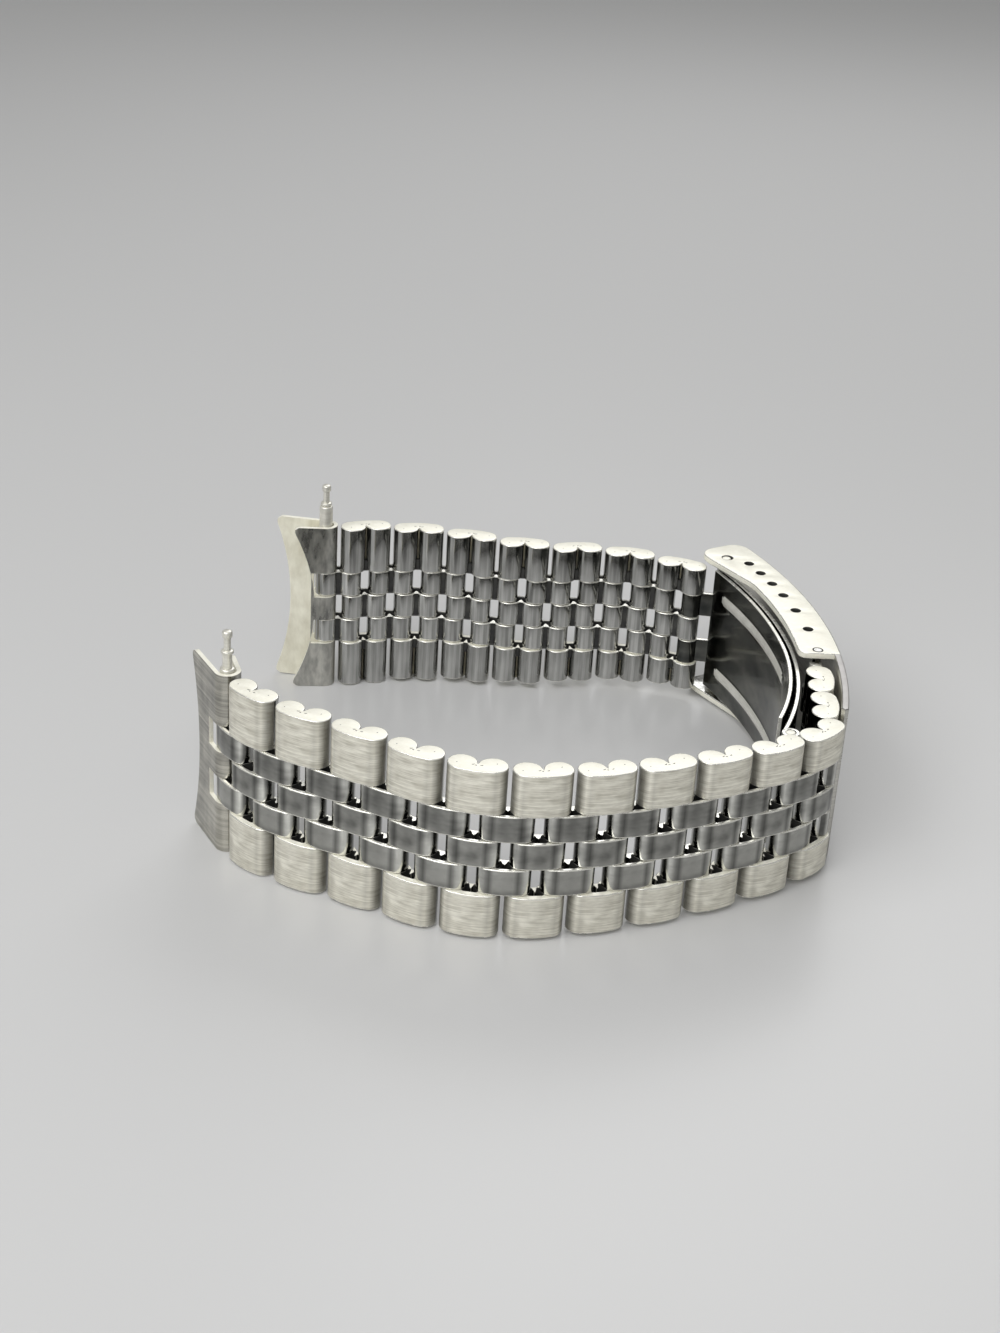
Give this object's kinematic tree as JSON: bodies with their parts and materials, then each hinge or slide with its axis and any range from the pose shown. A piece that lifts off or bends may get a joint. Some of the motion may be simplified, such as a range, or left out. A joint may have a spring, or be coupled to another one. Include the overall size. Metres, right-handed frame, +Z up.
{
  "type": "watch bracelet",
  "caption": "Steel watch bracelet of rows of folded links, tapering from hollow end links with spring bars to a fold-over clasp, closed and standing on its edge.",
  "frame": {"origin": "on the surface that the bracelet stands on, under the middle of its bounding box", "axes": "+Z up along the bracelet's width, +X towards the clasp, +Y towards the short strand"},
  "size_m": [0.0666, 0.057, 0.0248],
  "materials": {
    "brushed_links": "brushed along the bracelet",
    "polished_links": "polished",
    "clasp_cover_steel": "polished",
    "clasp_blade_steel": "lightly polished",
    "end_link_steel": "satin",
    "bar_and_pin_steel": "turned",
    "spring_steel": "drawn wire"
  },
  "bodies": {
    "cover": {"clasp_cover": "clasp_cover_steel", "clasp_hinge_pin": "bar_and_pin_steel", "clasp_bar_tube": "bar_and_pin_steel", "clasp_bar_spring": "spring_steel"},
    "outer_blade": {"clasp_outer_blade": "clasp_blade_steel", "clasp_middle_pin": "bar_and_pin_steel"},
    "inner_blade": {"clasp_inner_blade": "clasp_blade_steel"},
    "long_pair_14": {"long_pair_14": "polished_links"},
    "long_triple_13": {"long_triple_13": "brushed_links"},
    "long_pair_13": {"long_pair_13": "polished_links"},
    "long_triple_12": {"long_triple_12": "brushed_links"},
    "long_pair_12": {"long_pair_12": "polished_links"},
    "long_triple_11": {"long_triple_11": "brushed_links"},
    "long_pair_11": {"long_pair_11": "polished_links"},
    "long_triple_10": {"long_triple_10": "brushed_links"},
    "long_pair_10": {"long_pair_10": "polished_links"},
    "long_triple_09": {"long_triple_09": "brushed_links"},
    "long_pair_09": {"long_pair_09": "polished_links"},
    "long_triple_08": {"long_triple_08": "brushed_links"},
    "long_pair_08": {"long_pair_08": "polished_links"},
    "long_triple_07": {"long_triple_07": "brushed_links"},
    "long_pair_07": {"long_pair_07": "polished_links"},
    "long_triple_06": {"long_triple_06": "brushed_links"},
    "long_pair_06": {"long_pair_06": "polished_links"},
    "long_triple_05": {"long_triple_05": "brushed_links"},
    "long_pair_05": {"long_pair_05": "polished_links"},
    "long_triple_04": {"long_triple_04": "brushed_links"},
    "long_pair_04": {"long_pair_04": "polished_links"},
    "long_triple_03": {"long_triple_03": "brushed_links"},
    "long_pair_03": {"long_pair_03": "polished_links"},
    "long_triple_02": {"long_triple_02": "brushed_links"},
    "long_pair_02": {"long_pair_02": "polished_links"},
    "long_triple_01": {"long_triple_01": "brushed_links"},
    "long_pair_01": {"long_pair_01": "polished_links"},
    "long_end_link": {"long_end_link": "end_link_steel", "long_bar_tube": "bar_and_pin_steel", "long_bar_spring": "spring_steel"},
    "short_triple_07": {"short_triple_07": "brushed_links"},
    "short_pair_07": {"short_pair_07": "polished_links"},
    "short_triple_06": {"short_triple_06": "brushed_links"},
    "short_pair_06": {"short_pair_06": "polished_links"},
    "short_triple_05": {"short_triple_05": "brushed_links"},
    "short_pair_05": {"short_pair_05": "polished_links"},
    "short_triple_04": {"short_triple_04": "brushed_links"},
    "short_pair_04": {"short_pair_04": "polished_links"},
    "short_triple_03": {"short_triple_03": "brushed_links"},
    "short_pair_03": {"short_pair_03": "polished_links"},
    "short_triple_02": {"short_triple_02": "brushed_links"},
    "short_pair_02": {"short_pair_02": "polished_links"},
    "short_triple_01": {"short_triple_01": "brushed_links"},
    "short_pair_01": {"short_pair_01": "polished_links"},
    "short_end_link": {"short_end_link": "end_link_steel", "short_bar_tube": "bar_and_pin_steel", "short_bar_spring": "spring_steel"},
    "long_bar_tip_low": {"long_bar_tip_low": "bar_and_pin_steel"},
    "long_bar_tip_top": {"long_bar_tip_top": "bar_and_pin_steel"},
    "short_bar_tip_low": {"short_bar_tip_low": "bar_and_pin_steel"},
    "short_bar_tip_top": {"short_bar_tip_top": "bar_and_pin_steel"},
    "clasp_bar_tip_low": {"clasp_bar_tip_low": "bar_and_pin_steel"},
    "clasp_bar_tip_top": {"clasp_bar_tip_top": "bar_and_pin_steel"}
  },
  "joints": [
    {"name": "clasp_hinge", "type": "hinge", "parent": "cover", "child": "outer_blade", "pos_m": [0.02301, 0.02454, 0.00897], "axis": [-0.0233, 0.0039, -0.9997], "range_deg": [0, 160]},
    {"name": "clasp_middle_hinge", "type": "hinge", "parent": "outer_blade", "child": "inner_blade", "pos_m": [0.02638, -0.01403, 0.00874], "axis": [0.0233, -0.0039, 0.9997], "range_deg": [0, 160]},
    {"name": "long_hinge_01", "type": "hinge", "parent": "long_pair_01", "child": "long_end_link", "pos_m": [-0.02892, -0.01299, 0.01003], "axis": [-0.0233, 0.0039, -0.9997], "range_deg": [-18, 2]},
    {"name": "short_hinge_01", "type": "hinge", "parent": "short_pair_01", "child": "short_end_link", "pos_m": [-0.02266, 0.02413, 0.01003], "axis": [0.0233, -0.0039, 0.9997], "range_deg": [0, 22]},
    {"name": "long_bar_low_slide", "type": "slide", "parent": "long_end_link", "child": "long_bar_tip_low", "axis": [-0.0233, 0.0039, -0.9997], "range_m": [-0.00155, 0], "stiffness_N_per_m": 300, "springref_m": 0.001, "deforming": ["long_bar_spring"]},
    {"name": "long_bar_top_slide", "type": "slide", "parent": "long_end_link", "child": "long_bar_tip_top", "axis": [0.0233, -0.0039, 0.9997], "range_m": [-0.00155, 0], "stiffness_N_per_m": 300, "springref_m": 0.001, "deforming": ["long_bar_spring"]},
    {"name": "short_bar_low_slide", "type": "slide", "parent": "short_end_link", "child": "short_bar_tip_low", "axis": [-0.0233, 0.0039, -0.9997], "range_m": [-0.00155, 0], "stiffness_N_per_m": 300, "springref_m": 0.001, "deforming": ["short_bar_spring"]},
    {"name": "short_bar_top_slide", "type": "slide", "parent": "short_end_link", "child": "short_bar_tip_top", "axis": [0.0233, -0.0039, 0.9997], "range_m": [-0.00005, 0.0015], "stiffness_N_per_m": 300, "springref_m": 0.0025, "deforming": ["short_bar_spring"]},
    {"name": "clasp_bar_low_slide", "type": "slide", "parent": "cover", "child": "clasp_bar_tip_low", "axis": [-0.0233, 0.0039, -0.9997], "range_m": [-0.00075, 0], "stiffness_N_per_m": 300, "springref_m": 0.001, "deforming": ["clasp_bar_spring"]},
    {"name": "clasp_bar_top_slide", "type": "slide", "parent": "cover", "child": "clasp_bar_tip_top", "axis": [0.0233, -0.0039, 0.9997], "range_m": [-0.00075, 0], "stiffness_N_per_m": 300, "springref_m": 0.001, "deforming": ["clasp_bar_spring"]},
    {"name": "long_hinge_28", "type": "hinge", "parent": "cover", "child": "long_pair_14", "pos_m": [0.03076, 0.00197, 0.0087], "axis": [-0.0233, 0.0039, -0.9997], "range_deg": [-0.1, 0.5]},
    {"name": "long_hinge_27", "type": "hinge", "parent": "long_pair_14", "child": "long_triple_13", "pos_m": [0.03065, -0.00107, 0.00869], "axis": [-0.0233, 0.0039, -0.9997], "range_deg": [-0.2, 0.6]},
    {"name": "long_hinge_26", "type": "hinge", "parent": "long_triple_13", "child": "long_pair_13", "pos_m": [0.0305, -0.00412, 0.00868], "axis": [-0.0233, 0.0039, -0.9997], "range_deg": [-0.2, 0.6]},
    {"name": "long_hinge_25", "type": "hinge", "parent": "long_pair_13", "child": "long_triple_12", "pos_m": [0.03039, -0.00717, 0.00867], "axis": [-0.0233, 0.0039, -0.9997], "range_deg": [-0.3, 0.6]},
    {"name": "long_hinge_24", "type": "hinge", "parent": "long_triple_12", "child": "long_pair_12", "pos_m": [0.03017, -0.01021, 0.00866], "axis": [-0.0233, 0.0039, -0.9997], "range_deg": [-0.5, 1.2]},
    {"name": "long_hinge_23", "type": "hinge", "parent": "long_pair_12", "child": "long_triple_11", "pos_m": [0.03038, -0.01325, 0.00865], "axis": [-0.0233, 0.0039, -0.9997], "range_deg": [-50.88, 2]},
    {"name": "long_hinge_22", "type": "hinge", "parent": "long_triple_11", "child": "long_pair_11", "pos_m": [0.02834, -0.01552, 0.00868], "axis": [-0.0233, 0.0039, -0.9997], "range_deg": [-15, 2]},
    {"name": "long_hinge_21", "type": "hinge", "parent": "long_pair_11", "child": "long_triple_10", "pos_m": [0.02593, -0.0174, 0.00873], "axis": [-0.0233, 0.0039, -0.9997], "range_deg": [-12, 2.5]},
    {"name": "long_hinge_20", "type": "hinge", "parent": "long_triple_10", "child": "long_pair_10", "pos_m": [0.02332, -0.01897, 0.00879], "axis": [-0.0233, 0.0039, -0.9997], "range_deg": [-7, 7.5]},
    {"name": "long_hinge_19", "type": "hinge", "parent": "long_pair_10", "child": "long_triple_09", "pos_m": [0.02065, -0.02045, 0.00884], "axis": [-0.0233, 0.0039, -0.9997], "range_deg": [-7, 7.5]},
    {"name": "long_hinge_18", "type": "hinge", "parent": "long_triple_09", "child": "long_pair_09", "pos_m": [0.01794, -0.02183, 0.0089], "axis": [-0.0233, 0.0039, -0.9997], "range_deg": [-8, 6.5]},
    {"name": "long_hinge_17", "type": "hinge", "parent": "long_pair_09", "child": "long_triple_08", "pos_m": [0.01515, -0.02307, 0.00896], "axis": [-0.0233, 0.0039, -0.9997], "range_deg": [-7, 7.5]},
    {"name": "long_hinge_16", "type": "hinge", "parent": "long_triple_08", "child": "long_pair_08", "pos_m": [0.01232, -0.02421, 0.00902], "axis": [-0.0233, 0.0039, -0.9997], "range_deg": [-8, 6.5]},
    {"name": "long_hinge_15", "type": "hinge", "parent": "long_pair_08", "child": "long_triple_07", "pos_m": [0.00944, -0.02521, 0.00909], "axis": [-0.0233, 0.0039, -0.9997], "range_deg": [-8, 6.5]},
    {"name": "long_hinge_14", "type": "hinge", "parent": "long_triple_07", "child": "long_pair_07", "pos_m": [0.00651, -0.02605, 0.00915], "axis": [-0.0233, 0.0039, -0.9997], "range_deg": [-9, 5.5]},
    {"name": "long_hinge_13", "type": "hinge", "parent": "long_pair_07", "child": "long_triple_06", "pos_m": [0.00353, -0.02668, 0.00922], "axis": [-0.0233, 0.0039, -0.9997], "range_deg": [-9, 5.5]},
    {"name": "long_hinge_12", "type": "hinge", "parent": "long_triple_06", "child": "long_pair_06", "pos_m": [0.00051, -0.02711, 0.00929], "axis": [-0.0233, 0.0039, -0.9997], "range_deg": [-14, 2]},
    {"name": "long_hinge_11", "type": "hinge", "parent": "long_pair_06", "child": "long_triple_05", "pos_m": [-0.00254, -0.02705, 0.00936], "axis": [-0.0233, 0.0039, -0.9997], "range_deg": [-13, 2]},
    {"name": "long_hinge_10", "type": "hinge", "parent": "long_triple_05", "child": "long_pair_05", "pos_m": [-0.00555, -0.02658, 0.00943], "axis": [-0.0233, 0.0039, -0.9997], "range_deg": [-14, 2]},
    {"name": "long_hinge_09", "type": "hinge", "parent": "long_pair_05", "child": "long_triple_04", "pos_m": [-0.00845, -0.02563, 0.0095], "axis": [-0.0233, 0.0039, -0.9997], "range_deg": [-13, 2]},
    {"name": "long_hinge_08", "type": "hinge", "parent": "long_triple_04", "child": "long_pair_04", "pos_m": [-0.01119, -0.0243, 0.00957], "axis": [-0.0233, 0.0039, -0.9997], "range_deg": [-5, 9.5]},
    {"name": "long_hinge_07", "type": "hinge", "parent": "long_pair_04", "child": "long_triple_03", "pos_m": [-0.01394, -0.02296, 0.00964], "axis": [-0.0233, 0.0039, -0.9997], "range_deg": [-5, 9.5]},
    {"name": "long_hinge_06", "type": "hinge", "parent": "long_triple_03", "child": "long_pair_03", "pos_m": [-0.01668, -0.02162, 0.00971], "axis": [-0.0233, 0.0039, -0.9997], "range_deg": [-4, 10.5]},
    {"name": "long_hinge_05", "type": "hinge", "parent": "long_pair_03", "child": "long_triple_02", "pos_m": [-0.01944, -0.02033, 0.00978], "axis": [-0.0233, 0.0039, -0.9997], "range_deg": [-5, 9.5]},
    {"name": "long_hinge_04", "type": "hinge", "parent": "long_triple_02", "child": "long_pair_02", "pos_m": [-0.0222, -0.01905, 0.00985], "axis": [-0.0233, 0.0039, -0.9997], "range_deg": [-12, 2.5]},
    {"name": "long_hinge_03", "type": "hinge", "parent": "long_pair_02", "child": "long_triple_01", "pos_m": [-0.02479, -0.01743, 0.00992], "axis": [-0.0233, 0.0039, -0.9997], "range_deg": [-14, 2]},
    {"name": "long_hinge_02", "type": "hinge", "parent": "long_triple_01", "child": "long_pair_01", "pos_m": [-0.02709, -0.01543, 0.00998], "axis": [-0.0233, 0.0039, -0.9997], "range_deg": [-17, 2]},
    {"name": "short_hinge_15", "type": "hinge", "parent": "inner_blade", "child": "short_triple_07", "pos_m": [0.01945, 0.02398, 0.00905], "axis": [0.0233, -0.0039, 0.9997], "range_deg": [-5, 13]},
    {"name": "short_hinge_14", "type": "hinge", "parent": "short_triple_07", "child": "short_pair_07", "pos_m": [0.01659, 0.02503, 0.00912], "axis": [0.0233, -0.0039, 0.9997], "range_deg": [-12, 6]},
    {"name": "short_hinge_13", "type": "hinge", "parent": "short_pair_07", "child": "short_triple_06", "pos_m": [0.01361, 0.02571, 0.00919], "axis": [0.0233, -0.0039, 0.9997], "range_deg": [-12, 6]},
    {"name": "short_hinge_12", "type": "hinge", "parent": "short_triple_06", "child": "short_pair_06", "pos_m": [0.01058, 0.02603, 0.00926], "axis": [0.0233, -0.0039, 0.9997], "range_deg": [-13, 5]},
    {"name": "short_hinge_11", "type": "hinge", "parent": "short_pair_06", "child": "short_triple_05", "pos_m": [0.00754, 0.02592, 0.00933], "axis": [0.0233, -0.0039, 0.9997], "range_deg": [-13, 5]},
    {"name": "short_hinge_10", "type": "hinge", "parent": "short_triple_05", "child": "short_pair_05", "pos_m": [0.00453, 0.02539, 0.0094], "axis": [0.0233, -0.0039, 0.9997], "range_deg": [0, 19]},
    {"name": "short_hinge_09", "type": "hinge", "parent": "short_pair_05", "child": "short_triple_04", "pos_m": [0.00149, 0.02518, 0.00947], "axis": [0.0233, -0.0039, 0.9997], "range_deg": [0, 19]},
    {"name": "short_hinge_08", "type": "hinge", "parent": "short_triple_04", "child": "short_pair_04", "pos_m": [-0.00156, 0.02529, 0.00954], "axis": [0.0233, -0.0039, 0.9997], "range_deg": [-2, 16]},
    {"name": "short_hinge_07", "type": "hinge", "parent": "short_pair_04", "child": "short_triple_03", "pos_m": [-0.00459, 0.02555, 0.00961], "axis": [0.0233, -0.0039, 0.9997], "range_deg": [-2, 16]},
    {"name": "short_hinge_06", "type": "hinge", "parent": "short_triple_03", "child": "short_pair_03", "pos_m": [-0.00761, 0.02598, 0.00969], "axis": [0.0233, -0.0039, 0.9997], "range_deg": [-11, 7]},
    {"name": "short_hinge_05", "type": "hinge", "parent": "short_pair_03", "child": "short_triple_02", "pos_m": [-0.01066, 0.02608, 0.00976], "axis": [0.0233, -0.0039, 0.9997], "range_deg": [-11, 7]},
    {"name": "short_hinge_04", "type": "hinge", "parent": "short_triple_02", "child": "short_pair_02", "pos_m": [-0.0137, 0.02587, 0.00983], "axis": [0.0233, -0.0039, 0.9997], "range_deg": [-11, 7]},
    {"name": "short_hinge_03", "type": "hinge", "parent": "short_pair_02", "child": "short_triple_01", "pos_m": [-0.01671, 0.02534, 0.00989], "axis": [0.0233, -0.0039, 0.9997], "range_deg": [-11, 7]},
    {"name": "short_hinge_02", "type": "hinge", "parent": "short_triple_01", "child": "short_pair_01", "pos_m": [-0.01964, 0.0245, 0.00996], "axis": [0.0233, -0.0039, 0.9997], "range_deg": [0, 22]}
  ],
  "couplings": [
    {"joint": "clasp_middle_hinge", "follows": "clasp_hinge", "ratio": 1}
  ]
}
